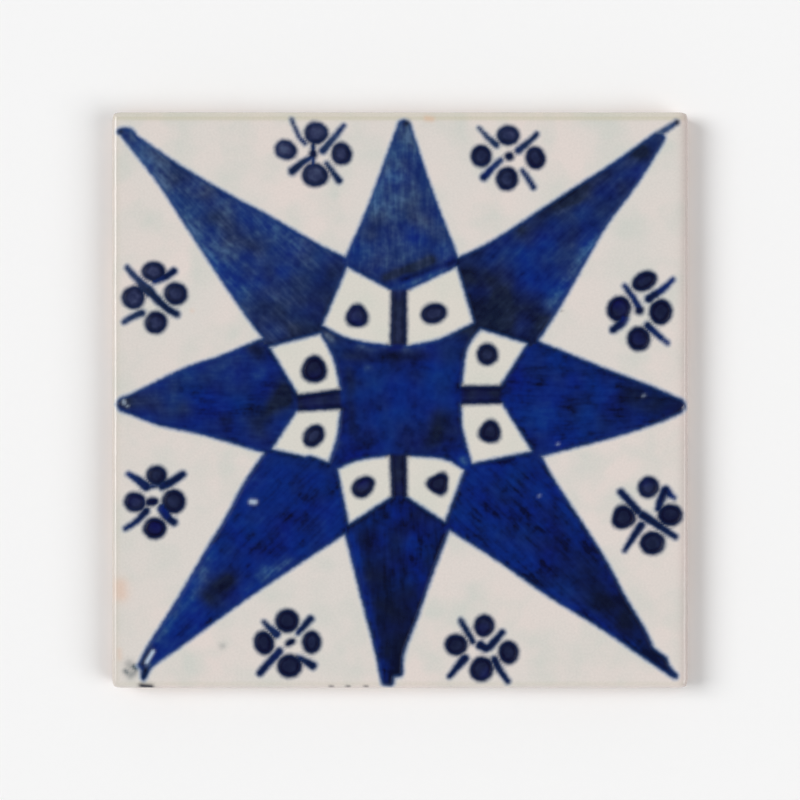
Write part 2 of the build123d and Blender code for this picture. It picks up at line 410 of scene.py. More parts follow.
# Weights of the paint, and how strongly it mottles at each
STAR_MOTTLE = ((0.3, 0.84, 0.94), (1.2, 0.7, 0.35))
MARK_MOTTLE = ((0.4, 0.75), (1.0, 0.6))
BAR_MOTTLE = 0.6
# Reaches from the middle between which the arms' own paint, and its streaks, set in
ARM_START = (14.0, 26.0)
STREAK_START = (14.0, 30.0)
# Length and width of a brush streak, and the step in their pattern from arm to arm
STREAK_LENGTH, STREAK_WIDTH, STREAK_STEP = 8.0, 1.5, 11.0
# The brush went round the windows once more: half width, reaches where it sets in, added paint
WINDOW_RIM, WINDOW_RIM_START, WINDOW_RIM_PAINT = 1.3, (22.0, 30.0), (0.06, 0.1)
# Soft border of a bar and of the windows' glaze
BAR_BORDER, WINDOW_BORDER = 0.75, 0.5
# Share of the relief that the thinnest and the thickest paint have, and that a pinhole takes away
PAINT_BODY = (0.62, 1.0)
PINHOLE_SHARE = 0.8

# The glaze stops at a wavering line: height, waves round the tile and start of each wave
GLAZE_WAVES = ((0.5, 10, 0.7), (0.3, 27, 2.1), (0.12, 64, 4.0))
CUSHION_STEPS = 6
SHARP_ANGLE = 38.0
# Bake map: margin in mm, size and lower left corner of the face and the back, strips of the four sides
MAP_MARGIN = 1.0
FACE_MAP = (0.72, (0.005, 0.275))
BACK_MAP = (0.25, (0.74, 0.275))
STRIP_LENGTH, STRIP_CORNER, STRIP_PITCH, STRIP_SCALE = 0.72, (0.005, 0.01), 0.062, 0.0068

# Lamps: name, azimuth, elevation and apparent width in degrees
LAMPS = (("key_lamp", 168, 42, 34), ("fill_lamp", -20, 40, 40))
FLOOR_SIDES, FLOOR_GAP = 96, 0.1
RANGE_PLACES = ("Value", "From Min", "From Max", "To Min", "To Max")


def linear(code):
    """An sRGB colour code as linear red, green and blue."""
    shades = [int(code[place : place + 2], 16) / 255 for place in (1, 3, 5)]
    return [s / 12.92 if s <= 0.04045 else ((s + 0.055) / 1.055) ** 2.4 for s in shades]


def length(name, default, description):
    """A length property in metres from a default in millimetres."""
    return bpy.props.FloatProperty(
        name=name,
        description=description,
        default=default * MM,
        min=0.0,
        unit="LENGTH",
        subtype="DISTANCE",
        precision=5,
    )


def colour(name, code, description):
    """A colour property from an sRGB colour code."""
    return bpy.props.FloatVectorProperty(
        name=name,
        description=description,
        default=linear(code),
        min=0.0,
        max=1.0,
        subtype="COLOR",
    )


class StarTileSizes(bpy.types.PropertyGroup):
    """Sizes of the fired tile that a user may change"""

    cushion: length("Cushion radius", 1.5, "Radius of the soft edge round the face")
    paint_relief: length("Paint relief", 0.25, "How far the thickest paint stands over the white glaze")
    paint_shoulder: length("Paint shoulder", 1.4, "Width over which the paint rises to its full height")
    glaze_line: length("Glaze line", 3.2, "Mean height on the sides where the glaze stops")
    glaze_lip: length("Glaze lip", 0.15, "How far the glaze stands proud of the bare clay")
    back_chamfer: length("Back chamfer", 0.6, "Chamfer round the back")
    back_border: length("Back border", 8.0, "Flat border of the back, outside the pockets")
    rib_width: length("Rib width", 3.0, "Width of the ribs between the pockets")
    pocket_depth: length("Pocket depth", 0.9, "Depth of the pockets that the adhesive grips")
    pocket_draft: bpy.props.FloatProperty(
        name="Pocket draft",
        description="Slope of the pockets' walls",
        default=math.radians(20),
        min=0.0,
        subtype="ANGLE",
    )
    pocket_count: bpy.props.IntProperty(
        name="Pockets a side", description="Pockets along each side of the back", default=8, min=1, max=20
    )
    face_cells: bpy.props.IntProperty(
        name="Face cells", description="Mesh cells along each side of the face", default=280, min=40, max=290
    )


class StarTileColours(bpy.types.PropertyGroup):
    """Colours of the glaze, the paint and the clay that a user may change"""

    glaze: colour("White glaze", "#DDD7D1", "Tin glaze where it lies plain")
    glaze_rose: colour("Rosy glaze", "#E3D8D2", "Warm clouds in the glaze")
    glaze_green: colour("Greenish glaze", "#D3D3CC", "Cool clouds in the glaze")
    window_glaze: colour("Window glaze", "#DAD8CD", "Glaze in the star's windows")
    # Partly painted shade: besides the clay showing through at the arris, it darkens the lit top edge
    thin_glaze: colour("Thin glaze", "#CBC6AF", "Glaze on the arris, where the clay shows through")
    # Painted shade on the cushion, tinted rosy like the clay under the thin glaze, deepest on the right
    rose_edge: colour("Rosy edge", "#BDADA8", "Rosy shade of the cushion, deepest on the right")
    stain: colour("Iron stain", "#E2B393", "Specks where iron in the clay bled through")
    smear: colour("Paint smear", "#4E5E66", "Smeared paint beside a tip")
    speck: colour("Dark specks", "#14162A", "Drops of full paint")
    pinhole: colour("Pinholes", "#B4C4D8", "Small bare spots in the blue")
    clay: colour("Bare clay", "#C9A184", "Buff biscuit of the back")
    clay_dark: colour("Clay shade", "#A97F62", "Darker grains and flash marks in the biscuit")


class StarTileStage(bpy.types.PropertyGroup):
    """Floor, lamps and camera"""

    floor_radius: length("Floor radius", 2500.0, "Radius of the round floor")
    floor_colour: colour("Floor", "#F7F7F7", "Plain pale floor")
    key_level: bpy.props.FloatProperty(
        name="Key level", description="Share of the plain light from the key lamp", default=0.40, min=0
    )
    fill_level: bpy.props.FloatProperty(
        name="Fill level", description="Share of the plain light from the fill lamp", default=0.27, min=0
    )
    frame_width: length("Frame width", 210.7, "Width of the tile's face plane that the picture takes in")
    lens: bpy.props.FloatProperty(
        name="Lens", description="Focal length of the camera", default=100.0, min=20.0, unit="CAMERA"
    )


def show(name, data, place=(0, 0, 0)):
    """Adds an object to the scene."""
    shown = bpy.data.objects.new(name, data)
    shown.location = place
    bpy.context.scene.collection.objects.link(shown)
    return shown


def add_node(tree, name, kind, inputs=None, stops=(), **settings):
    """Adds a node with its settings, and its ramp's stops as rows of place and sRGB code.

    An input is a value, or the name of an earlier node and its output.
    """
    node = tree.nodes.new("ShaderNode" + kind)
    node.name = node.label = name
    for setting, value in settings.items():
        setattr(node, setting, value)
    for number, (place, code) in enumerate(stops):
        elements = node.color_ramp.elements
        element = elements[number] if number < len(elements) else elements.new(place)
        element.position = place
        element.color = (*linear(code), 1.0)
    for place, value in (inputs or {}).items():
        if isinstance(value, str):
            source, output = value.split(".")
            outputs = tree.nodes[source].outputs
            tree.links.new(outputs[int(output) if output.isdigit() else output], node.inputs[place])
        elif node.inputs[place].type == "RGBA":
            node.inputs[place].default_value = (*value, 1.0)
        else:
            node.inputs[place].default_value = value


def smooth_curve(points, step=OUTLINE_PIECE):
    """Catmull-Rom curve through the points, without its last point."""
    knots = np.array(points, float)
    if len(knots) == 2:
        return knots[:1]
    padded = np.vstack([2 * knots[0] - knots[1], knots, 2 * knots[-1] - knots[-2]])
    line = []
    for before, start, end, after in zip(padded, padded[1:], padded[2:], padded[3:]):
        count = max(2, int(np.hypot(*(end - start)) / step))
        share = (np.arange(count) / count)[:, None]
        line.append(
            start
            + share * 0.5 * (end - before)
            + share**2 * (before - 2.5 * start + 2 * end - 0.5 * after)
            + share**3 * 0.5 * (after - before + 3 * (start - end))
        )
    return np.vstack(line)


def depth_in_outline(places, runs):
    """Distance in mm from each place to a closed outline, positive inside."""
    corners = np.vstack([smooth_curve((*run, after[0])) for run, after in zip(runs, runs[1:] + runs[:1])])
    x, y = places.T
    nearest = np.full(len(places), np.inf)
    inside = np.zeros(len(places), bool)
    for (ax, ay), (bx, by) in zip(corners, np.roll(corners, -1, 0)):
        nearest = np.minimum(nearest, distance_to_line(places, ax, ay, bx, by)[0])
        if ay != by:
            inside ^= ((ay > y) != (by > y)) & (x < (bx - ax) * (y - ay) / (by - ay) + ax)
    return np.where(inside, nearest, -nearest)


def depth_in_dot(places, x, y, long_radius, short_radius, tilt, lobes):
    """Distance in mm from each place to a brushed dot's edge, positive inside."""
    turn = math.radians(tilt)
    dx, dy = places[:, 0] - x, places[:, 1] - y
    along = dx * math.cos(turn) + dy * math.sin(turn)
    across = dy * math.cos(turn) - dx * math.sin(turn)
    angle = np.arctan2(across, along)
    swell = 1 + lobes * np.cos(3 * angle)
    reach = np.hypot(along / long_radius, across / short_radius) / swell
    slope = np.hypot(along / long_radius**2, across / short_radius**2) / swell
    return reach * (1 - reach) / np.maximum(slope, 1e-6)


def distance_to_line(places, ax, ay, bx, by):
    """Distance from each place to a straight line, and how far along it the nearest point is."""
    dx, dy = bx - ax, by - ay
    share = ((places[:, 0] - ax) * dx + (places[:, 1] - ay) * dy) / max(dx * dx + dy * dy, 1e-9)
    share = np.clip(share, 0, 1)
    return np.hypot(places[:, 0] - ax - share * dx, places[:, 1] - ay - share * dy), share


def soft_patch(places, ax, ay, bx, by, radius):
    """1 on the line and fading over the radius, like a loaded brush."""
    return np.exp(-((distance_to_line(places, ax, ay, bx, by)[0] / radius) ** 2))


def soft_spots(places, rows):
    """The strongest of several soft patches at each place."""
    field = np.zeros(len(places))
    for ax, ay, bx, by, radius, strength in rows:
        field = np.maximum(field, strength * soft_patch(places, ax, ay, bx, by, radius))
    return field


def ease(values, low, high):
    """0 below low, 1 above high and smooth between."""
    share = np.clip((values - low) / (high - low), 0, 1)
    return share * share * (3 - 2 * share)


def soft_strip(places, ax, ay, bx, by, half_width):
    """1 in a straight band with square ends, fading at its borders."""
    run = math.hypot(bx - ax, by - ay)
    way_x, way_y = (bx - ax) / run, (by - ay) / run
    along = (places[:, 0] - ax) * way_x + (places[:, 1] - ay) * way_y
    across = np.abs((places[:, 1] - ay) * way_x - (places[:, 0] - ax) * way_y)
    border = (-BAR_BORDER, BAR_BORDER)
    return ease(np.minimum(along, run - along), *border) * ease(half_width - across, *border)


def brush_marks(places):
    """Each dot and stroke in turn: its depth, weight, smokiness and dark rim at every place."""
    for *dot, weight, smoke in WINDOW_DOTS + PETALS + EYES:
        yield depth_in_dot(places, *dot) + DOT_SPREAD, weight, smoke + DOT_SMOKE, DOT_RIM
    for points, widths, weights, smoke in STROKES:
        line = np.vstack([smooth_curve(points, STROKE_PIECE), points[-1]])
        for piece, (start, end) in enumerate(zip(line, line[1:])):
            off, share = distance_to_line(places, *start, *end)
            done = (piece + share) / (len(line) - 1)
            half_width = STROKE_SPREAD + np.interp(done, (0, 1), widths) / 2
            yield half_width - off, np.interp(done, (0, 1), weights), smoke, STROKE_RIM


def star_paint(places, windows):
    """Weight and smokiness of the star's paint at each place, and the way of the brush there."""
    x, y = places.T
    angle = np.degrees(np.arctan2(y, x)) % 360
    reach = np.hypot(x, y)
    turns = np.round(angle / ARM_DEGREES)
    arm = turns.astype(int) % len(ARM_PAINT)
    off_axis = np.radians(angle - ARM_DEGREES * turns)
    stations = np.array(ARM_PAINT)[arm]
    shares = np.stack([np.interp(reach, ARM_REACHES, row) for row in np.eye(len(ARM_REACHES))], 1)
    arms = np.sum(shares[:, :, None] * stations, axis=1)
    in_arm = ease(reach, *ARM_START)[:, None]
    paint = np.array(CORE_PAINT) * (1 - in_arm) + arms * in_arm
    for ax, ay, bx, by, radius, weight, smoke in WASHES:
        paint += soft_patch(places, ax, ay, bx, by, radius)[:, None] * (weight, smoke)
    outlined = np.exp(-((windows / WINDOW_RIM) ** 2)) * ease(reach, *WINDOW_RIM_START)
    paint += outlined[:, None] * WINDOW_RIM_PAINT
    along = reach * np.cos(off_axis) / STREAK_LENGTH + STREAK_STEP * arm
    across = reach * np.sin(off_axis) / STREAK_WIDTH
    return paint, np.stack([along, across, 0 * reach], 1), ease(reach, *STREAK_START)


def paint_fields(places):
    """What the brush left at each place, as one value a place for each field."""
    star = depth_in_outline(places, STAR_RUNS)
    windows = np.max([depth_in_outline(places, runs) for runs in WINDOW_RUNS], axis=0)
    star_depth = np.minimum(star, -windows)
    paint, brush_way, streaked = star_paint(places, windows)
    mottle = np.interp(paint[:, 0], *STAR_MOTTLE)
    dark_rim = np.full(len(places), STAR_RIM)
    for ax, ay, bx, by, half_width, *bar_paint in BARS:
        share = soft_strip(places, ax, ay, bx, by, half_width)
        paint += share[:, None] * (bar_paint - paint)
        mottle += share * (BAR_MOTTLE - mottle)
        dark_rim = np.maximum(dark_rim, BAR_RIM * share)

    mark_depth = np.full(len(places), NO_PAINT)
    mark_paint = np.zeros((3, len(places)))
    for depth, *left_behind in brush_marks(places):
        nearer = depth > mark_depth
        for row, values in zip(mark_paint, left_behind):
            row[:] = np.where(nearer, values, row)
        mark_depth = np.maximum(mark_depth, depth)
    mark_weight, mark_smoke, mark_rim = mark_paint
    marked = mark_depth > star_depth
    return {
        "paint_depth": np.maximum(star_depth, mark_depth),
        "paint_weight": np.where(marked, mark_weight, paint[:, 0]),
        "paint_smoke": np.where(marked, mark_smoke, paint[:, 1]),
        "mottle": np.where(marked, np.interp(mark_weight, *MARK_MOTTLE), mottle),
        "dark_rim": np.where(marked, mark_rim, dark_rim),
        "streaked": np.where(marked, 0.0, streaked),
        "brush_way": brush_way,
        "window": ease(windows, -WINDOW_BORDER, WINDOW_BORDER),
        "pale_rim": np.where(marked, 0.0, soft_spots(places, PALE_RIMS)),
        **{name: soft_spots(places, rows) for name, rows in MARKS.items()},
    }


def edge_fields(places, half):
    """Where the glaze runs thin or turns rosy near the tile's four edges, with painted shade along them."""
    x, y = places.T
    inward = {"top": half - y, "bottom": half + y, "right": half - x, "left": half + x}
    fields = {}
    for name, bands in EDGE_BANDS.items():
        fields[name] = np.zeros(len(places))
        for side, middle, width, strength in bands:
            band = strength * np.exp(-(((inward[side] - middle) / width) ** 2))
            fields[name] = np.maximum(fields[name], band)
    return fields


def ring_directions(rim, half, cell):
    """Outward directions at the face's rim, fanned over two cells before each corner."""
    fan = 2 * cell
    to_corner = half - np.min(np.abs(rim), axis=1)
    lean = np.radians(45) * np.clip(1 - to_corner / fan, 0, 1)
    on_side = np.abs(rim[:, 0]) > np.abs(rim[:, 1])
    first, second = np.cos(lean), np.sin(lean)
    away = np.sign(rim)
    return away * np.where(on_side[:, None], np.stack([first, second], 1), np.stack([second, first], 1))


def stitch(outer, inner, outer_share, inner_share):
    """Triangles that face down between two closed loops with different numbers of vertices."""
    triangles = []
    i = j = 0
    while i < len(outer) or j < len(inner):
        if j == len(inner) or (i < len(outer) and outer_share[i + 1] <= inner_share[j + 1]):
            triangles.append((outer[i], inner[j % len(inner)], outer[(i + 1) % len(outer)]))
            i += 1
        else:
            triangles.append((inner[j], inner[(j + 1) % len(inner)], outer[i % len(outer)]))
            j += 1
    return triangles


class TileMesh:
    """Vertices, faces, finishes and map places of the tile's closed skin, in millimetres."""

    def __init__(self):
        self.vertices = []
        self.map_places = []
        self.faces = []
        self.regions = []
        self.finishes = []

    def add_vertices(self, places, map_places):
        first = sum(len(v) for v in self.vertices)
        self.vertices.append(np.asarray(places, float))
        self.map_places.append(np.asarray(map_places, float))
        return np.arange(first, first + len(places))

    def add_faces(self, faces, region, finish):
        faces = [tuple(int(i) for i in face) for face in faces]
        self.faces += faces
        self.regions += [region] * len(faces)
        self.finishes += [finish] * len(faces)

    def add_ring(self, loop, places, map_places, regions, finish):
        """Adds a ring outside a loop, and the strip of faces between them."""
        ring = self.add_vertices(places, map_places)
        strip = zip(loop, ring, np.roll(ring, -1), np.roll(loop, -1))
        for face, region in zip(strip, regions):
            self.add_faces([face], region, finish)
        return ring


# Regions of the bake map, with the sides between as 1 to 4, and the finishes in the order of the materials
FACE, BACK = 0, 5
GLAZED, BARE = 0, 1


def grid_rim(index):
    """The outer vertices of a grid in order against the clock."""
    return np.concatenate([index[:-1, 0], index[-1, :-1], index[:0:-1, -1], index[0, :0:-1]])


def lay_grid(skin, lines, level):
    """Adds a square grid of vertices, and returns their numbers by column and row."""
    x, y = (grid.ravel() for grid in np.meshgrid(lines, lines, indexing="ij"))
    index = skin.add_vertices(np.stack([x, y, 0 * x + level], 1), np.stack([x, y], 1))
    return index.reshape(len(lines), len(lines))


def face_grid(skin, half, level, cells):
    """Adds the flat face as a grid, and returns its rim."""
    index = lay_grid(skin, np.linspace(-half, half, cells + 1), level)
    quads = np.stack([index[:-1, :-1], index[1:, :-1], index[1:, 1:], index[:-1, 1:]], -1)
    skin.add_faces(quads.reshape(-1, 4).tolist(), FACE, GLAZED)
    return grid_rim(index)


def keyed_back(skin, rim, half, sizes):
    """Adds the back: its flat border, the ribs and the drafted pockets."""
    border, rib = sizes.back_border / MM, sizes.rib_width / MM
    depth = sizes.pocket_depth / MM
    inset = depth * math.tan(sizes.pocket_draft)
    pitch = (2 * (half - border) + rib) / sizes.pocket_count
    starts = -half + border + pitch * np.arange(sizes.pocket_count)
    lines = np.sort(np.concatenate([starts, starts + pitch - rib]))
    index = lay_grid(skin, lines, 0)
    for i in range(len(lines) - 1):
        for j in range(len(lines) - 1):
            mouth = [index[i, j], index[i, j + 1], index[i + 1, j + 1], index[i + 1, j]]
            if i % 2 or j % 2:
                skin.add_faces([mouth], BACK, BARE)
                continue
            low, high = (lines[i] + inset, lines[j] + inset), (lines[i + 1] - inset, lines[j + 1] - inset)
            floor = [(low[0], low[1]), (low[0], high[1]), (high[0], high[1]), (high[0], low[1])]
            inner = skin.add_vertices([(*place, depth) for place in floor], floor)
            skin.add_faces([inner], BACK, BARE)
            skin.add_faces(zip(mouth, np.roll(mouth, -1), np.roll(inner, -1), inner), BACK, BARE)
    quarter = (lines[:-1] - lines[0]) / (lines[-1] - lines[0])
    edge_share = np.append(np.concatenate([side + quarter for side in range(4)]), 4.0)
    rim_share = np.linspace(0, 4, len(rim) + 1)
    skin.add_faces(stitch(list(rim), list(grid_rim(index)), rim_share, edge_share), BACK, BARE)


def build_skin(sizes):
    """The tile's closed skin, and how many of its vertices belong to the face and its cushion."""
    half = TILE_HIGH.x / MM
    cushion = sizes.cushion / MM
    face_level = (TILE_HIGH.z - sizes.paint_relief) / MM
    flat = half - cushion
    lip = sizes.glaze_lip / MM
    chamfer = sizes.back_chamfer / MM

    skin = TileMesh()
    loop = face_grid(skin, flat, face_level, sizes.face_cells)
    rim = skin.vertices[0][loop, :2]
    away = ring_directions(rim, flat, 2 * flat / sizes.face_cells)
    for angle in math.pi / 2 * np.arange(1, CUSHION_STEPS + 1) / CUSHION_STEPS:
        places = rim + away * cushion * math.sin(angle)
        height = np.full(len(rim), face_level - cushion * (1 - math.cos(angle)))
        unrolled = rim + away * cushion * angle
        loop = skin.add_ring(loop, np.column_stack([places, height]), unrolled, [FACE] * len(rim), GLAZED)
    face_vertices = sum(len(v) for v in skin.vertices)

    # Down the sides: the glaze stops at a wavering line, and its lip stands over the bare clay
    turn = np.linspace(0, 2 * math.pi, len(rim), endpoint=False)
    glaze_line = np.full(len(rim), sizes.glaze_line / MM)
    for high, waves, start in GLAZE_WAVES:
        glaze_line += high * np.sin(waves * turn + start)
    sides = np.repeat([1, 2, 3, 4], sizes.face_cells)
    rings = (
        (0.0, glaze_line, GLAZED),
        (lip, glaze_line - lip, GLAZED),
        (lip, np.full(len(rim), chamfer), BARE),
        (chamfer, np.zeros(len(rim)), BARE),
    )
    for inset, height, finish in rings:
        places = rim + away * (cushion - inset)
        loop = skin.add_ring(loop, np.column_stack([places, height]), places, sides, finish)
    keyed_back(skin, loop, half, sizes)
    return skin, face_vertices


def bake_map(skin, corner_vertex, corner_region, half):
    """A place on the bake map for each face corner: a large face, a small back and the sides as strips."""
    vertices = np.vstack(skin.vertices)[corner_vertex]
    places = np.vstack(skin.map_places)[corner_vertex]
    spread = 0.5 + places / (2 * (half + MAP_MARGIN))
    (face_size, face_corner), (back_size, back_corner) = FACE_MAP, BACK_MAP
    on_face = (corner_region == FACE)[:, None]
    laid = np.where(on_face, face_size * spread + face_corner, back_size * spread + back_corner)
    for region, axis, way in ((1, 0, 1), (2, 1, 1), (3, 0, -1), (4, 1, -1)):
        here = corner_region == region
        laid[here, 0] = STRIP_CORNER[0] + STRIP_LENGTH * (1 + way * vertices[here, axis] / half) / 2
        laid[here, 1] = STRIP_CORNER[1] + STRIP_PITCH * (region - 1) + STRIP_SCALE * vertices[here, 2]
    return laid


class STARTILE_OT_tile(bpy.types.Operator):
    """Build the fired tile: glazed face, painted relief, cushioned edges and keyed back"""

    bl_idname = "startile.tile"
    bl_label = "Build Tile"
    bl_options = {"REGISTER", "UNDO"}

    def execute(self, context):
        sizes = context.scene.star_tile_sizes
        skin, face_vertices = build_skin(sizes)
        vertices = np.vstack(skin.vertices)
        half = TILE_HIGH.x / MM

        fields = paint_fields(vertices[:, :2])
        fields.update(edge_fields(vertices[:, :2], half))
        for name, clear in (("paint_depth", NO_PAINT), ("dark_speck", 0.0), ("bare_spot", 0.0)):
            fields[name][face_vertices:] = clear

        # The paint rises over its shoulder, higher where the brush left more
        body = np.interp(fields["paint_weight"], (0, 1), PAINT_BODY)
        raised = ease(fields["paint_depth"], 0, sizes.paint_shoulder / MM) * body
        vertices[:, 2] += sizes.paint_relief / MM * raised * (1 - PINHOLE_SHARE * fields["bare_spot"])

        mesh = bpy.data.meshes.new("painted_tile")
        mesh.from_pydata((vertices * MM).tolist(), [], skin.faces)
        if mesh.validate(verbose=False):
            raise RuntimeError("the tile's skin has faces that do not fit together")
        mesh.polygons.foreach_set("material_index", np.array(skin.finishes, np.int32))
        mesh.shade_smooth()
        mesh.set_sharp_from_angle(angle=math.radians(SHARP_ANGLE))

        for name, values in fields.items():
            kind, part = ("FLOAT_VECTOR", "vector") if values.ndim == 2 else ("FLOAT", "value")
            layer = mesh.attributes.new(name, kind, "POINT")
            layer.data.foreach_set(part, values.astype(np.float32).ravel())

        corner_vertex = np.zeros(len(mesh.loops), np.int32)
        mesh.loops.foreach_get("vertex_index", corner_vertex)
        face_sizes = [len(face) for face in skin.faces]
        corner_region = np.repeat(skin.regions, face_sizes)
        laid = bake_map(skin, corner_vertex, corner_region, half)
        mesh.uv_layers.new(name="OFBake").uv.foreach_set("vector", laid.astype(np.float32).ravel())

        mesh.materials.append(tin_glaze_material(context.scene.star_tile_colours, fields))
        mesh.materials.append(bare_clay_material(context.scene.star_tile_colours))
        tile = show("painted_tile", mesh)
        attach(tile, "root")
        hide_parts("tile")
        return {"FINISHED"}


def blank_material(name):
    """A new material, and its tree with only the object's own coordinates in it."""
    material = bpy.data.materials.new(name)
    material.use_nodes = True
    tree = material.node_tree
    tree.nodes.clear()
    add_node(tree, "place", "TexCoord")
    return material, tree


def tin_glaze_material(colours, fields):
    """Tin-glazed earthenware, brushed with cobalt before the glaze firing."""
    # The eye gets a soft gloss, a milky white with faint clouds, and blue that pools dark
    # where the brush was full and stays watery where it ran dry.
    material, tree = blank_material("tin_glaze_brushed_with_cobalt")
    for name in fields:
        add_node(tree, name, "Attribute", attribute_name=name)

    # Patterns of the white glaze, then of the cobalt: width in mm, detail, roughness
    for name, width, detail, roughness in (
        ("clouds", 22, 2.0, 0.5),
        ("blotches", 10, 2.0, 0.5),
        ("grain", 0.6, 1.0, 0.5),
        ("ripples", 9, 1.0, 0.5),
        ("granules", 1.8, 1.5, 0.4),
        ("pools", 7, 1.5, 0.5),
        ("smoke_clouds", 5.5, 0.5, 0.5),
        ("waver", 1.6, 2.0, 0.5),
    ):
        add_node(tree, name, "TexNoise", {
            "Vector": "place.Object", "Scale": 1 / (width * MM), "Detail": detail, "Roughness": roughness,
        })
    add_node(tree, "streaks", "TexNoise", {"Vector": "brush_way.Vector", "Scale": 1.0, "Detail": 1.5})

    # The painted edge wavers by about 0.1 mm. Dots and strokes are darker along it, and dry rims paler
    add_node(tree, "edge", "Math", {0: "waver.Fac", 1: 0.5, 2: "paint_depth.Fac"}, operation="MULTIPLY_ADD")
    for name, *values in (
        ("rosiness", "clouds.Fac", 0.40, 0.66),
        ("greenness", "blotches.Fac", 0.44, 0.74),
        ("grain_level", "grain.Fac", 0.0, 1.0, 0.94, 1.06),
        ("streak_part", "streaks.Fac", 0.0, 1.0, -0.28, 0.28),
        ("smoke_part", "smoke_clouds.Fac", 0.0, 1.0, -0.5, 0.5),
        ("hue_shift", "ripples.Fac", 0.0, 1.0, 0.48, 0.50),
        ("painted", "edge.0", -0.85, 0.8),
        ("bleed", "edge.0", -0.85, 1.05),
        ("thin_edge", "edge.0", 0.1, 1.4, 1.0, 0.0),
        ("rim", "edge.0", 0.9, 2.1, 1.0, 0.0),
        ("dry_rim", "edge.0", 1.2, 4.2, 1.0, 0.0),
        ("inked", "dark_rim.Fac", 0.25, 0.4, 0.8, 0.3),
        ("gloss", "painted.Result", 0.0, 1.0, 0.14, 0.22),
    ):
        add_node(tree, name, "MapRange", dict(zip(RANGE_PLACES, values)))
    tree.nodes["painted"].interpolation_type = "SMOOTHSTEP"

    # Each is the first times the second, plus the third
    for name, *values in (
        ("in_windows", "window.Fac", 0.6, 0.0),
        ("grained", "granules.Fac", 0.55, -0.625),
        ("pooled", "pools.Fac", 0.7, "grained.0"),
        ("brushed", "streak_part.Result", "streaked.Fac", "pooled.0"),
        ("laid", "brushed.0", "mottle.Fac", "paint_weight.Fac"),
        ("rim_dark", "rim.Result", "dark_rim.Fac", 0.0),
        ("rim_pale", "dry_rim.Result", "pale_rim.Fac", 0.0),
        ("rimmed", "rim_dark.0", 0.40, "laid.0"),
        ("weight", "rim_pale.0", -0.17, "rimmed.0"),
        ("smoke", "smoke_part.Result", 1.0, "paint_smoke.Fac"),
        ("violet", "dark_rim.Fac", 0.018, "hue_shift.Result"),
        ("edge_tint", "thin_edge.Result", "inked.Result", 0.0),
        ("tooth_height", "granules.Fac", "painted.Result", 0.0),
    ):
        add_node(tree, name, "Math", dict(enumerate(values)), operation="MULTIPLY_ADD")

    # Cobalt from thin to thick, pure and smoky, and where it bleeds into the white glaze
    for name, source, *stops in (
        (
            "vivid", "weight.0",
            (0.00, "#3D6096"), (0.18, "#2A4D86"), (0.30, "#1D3C80"), (0.42, "#12307C"), (0.55, "#0A267A"),
            (0.68, "#061E77"), (0.80, "#03186E"), (0.90, "#03135C"), (1.00, "#010638"),
        ),
        (
            "smoky", "weight.0",
            (0.00, "#4C5A78"), (0.15, "#3F4B68"), (0.32, "#323B5A"), (0.45, "#273150"), (0.58, "#1D2745"),
            (0.70, "#161F3A"), (0.85, "#0C1432"), (1.00, "#040928"),
        ),
        ("watery", "bleed.Result", (0.0, "#B5CBE4"), (0.3, "#7FA3CC"), (0.6, "#3A6294"), (1.0, "#1F3B70")),
    ):
        add_node(tree, name, "ValToRGB", {"Fac": source}, stops)
    add_node(tree, "mixed", "Mix", {0: "smoke.0", 6: "vivid.Color", 7: "smoky.Color"}, data_type="RGBA")
    add_node(tree, "cobalt", "HueSaturation", {"Hue": "violet.0", "Color": "mixed.2"})
    edges = {0: "edge_tint.0", 6: "cobalt.Color", 7: "watery.Color"}
    add_node(tree, "edged", "Mix", edges, data_type="RGBA")

    # Layers over the plain glaze, from the lowest up. The grain multiplies what lies under it
    below = colours.glaze
    for name, share, shade in (
        ("rosy", "rosiness.Result", colours.glaze_rose),
        ("greenish", "greenness.Result", colours.glaze_green),
        ("cooler", "in_windows.0", colours.window_glaze),
        # The thin glaze and the rosy edge are partly painted shade along the cushion
        ("thinned", "thin_glaze.Fac", colours.thin_glaze),
        ("rosed", "rose_edge.Fac", colours.rose_edge),
        ("stained", "iron_stain.Fac", colours.stain),
        ("smeared", "smear.Fac", colours.smear),
        ("glaze", 1.0, "grain_level.Result"),
        ("brushwork", "painted.Result", "edged.2"),
        ("specked", "dark_speck.Fac", colours.speck),
        ("spotted", "bare_spot.Fac", colours.pinhole),
    ):
        add_node(tree, name, "Mix", {0: share, 6: below, 7: shade}, data_type="RGBA")
        below = name + ".2"
    tree.nodes["glaze"].blend_type = "MULTIPLY"

    # Ripples of the poured glaze, and the paint's own fine tooth
    add_node(tree, "ripple", "Bump", {"Height": "ripples.Fac", "Strength": 0.35, "Distance": 0.25 * MM})
    add_node(tree, "tooth", "Bump", {
        "Height": "tooth_height.0", "Strength": 0.3, "Distance": 0.04 * MM, "Normal": "ripple.Normal",
    })
    add_node(tree, "surface", "BsdfPrincipled", {
        "Base Color": "spotted.2", "Roughness": "gloss.Result", "IOR": 1.5, "Normal": "tooth.Normal",
    })
    add_node(tree, "out", "OutputMaterial", {"Surface": "surface.BSDF"})
    return material


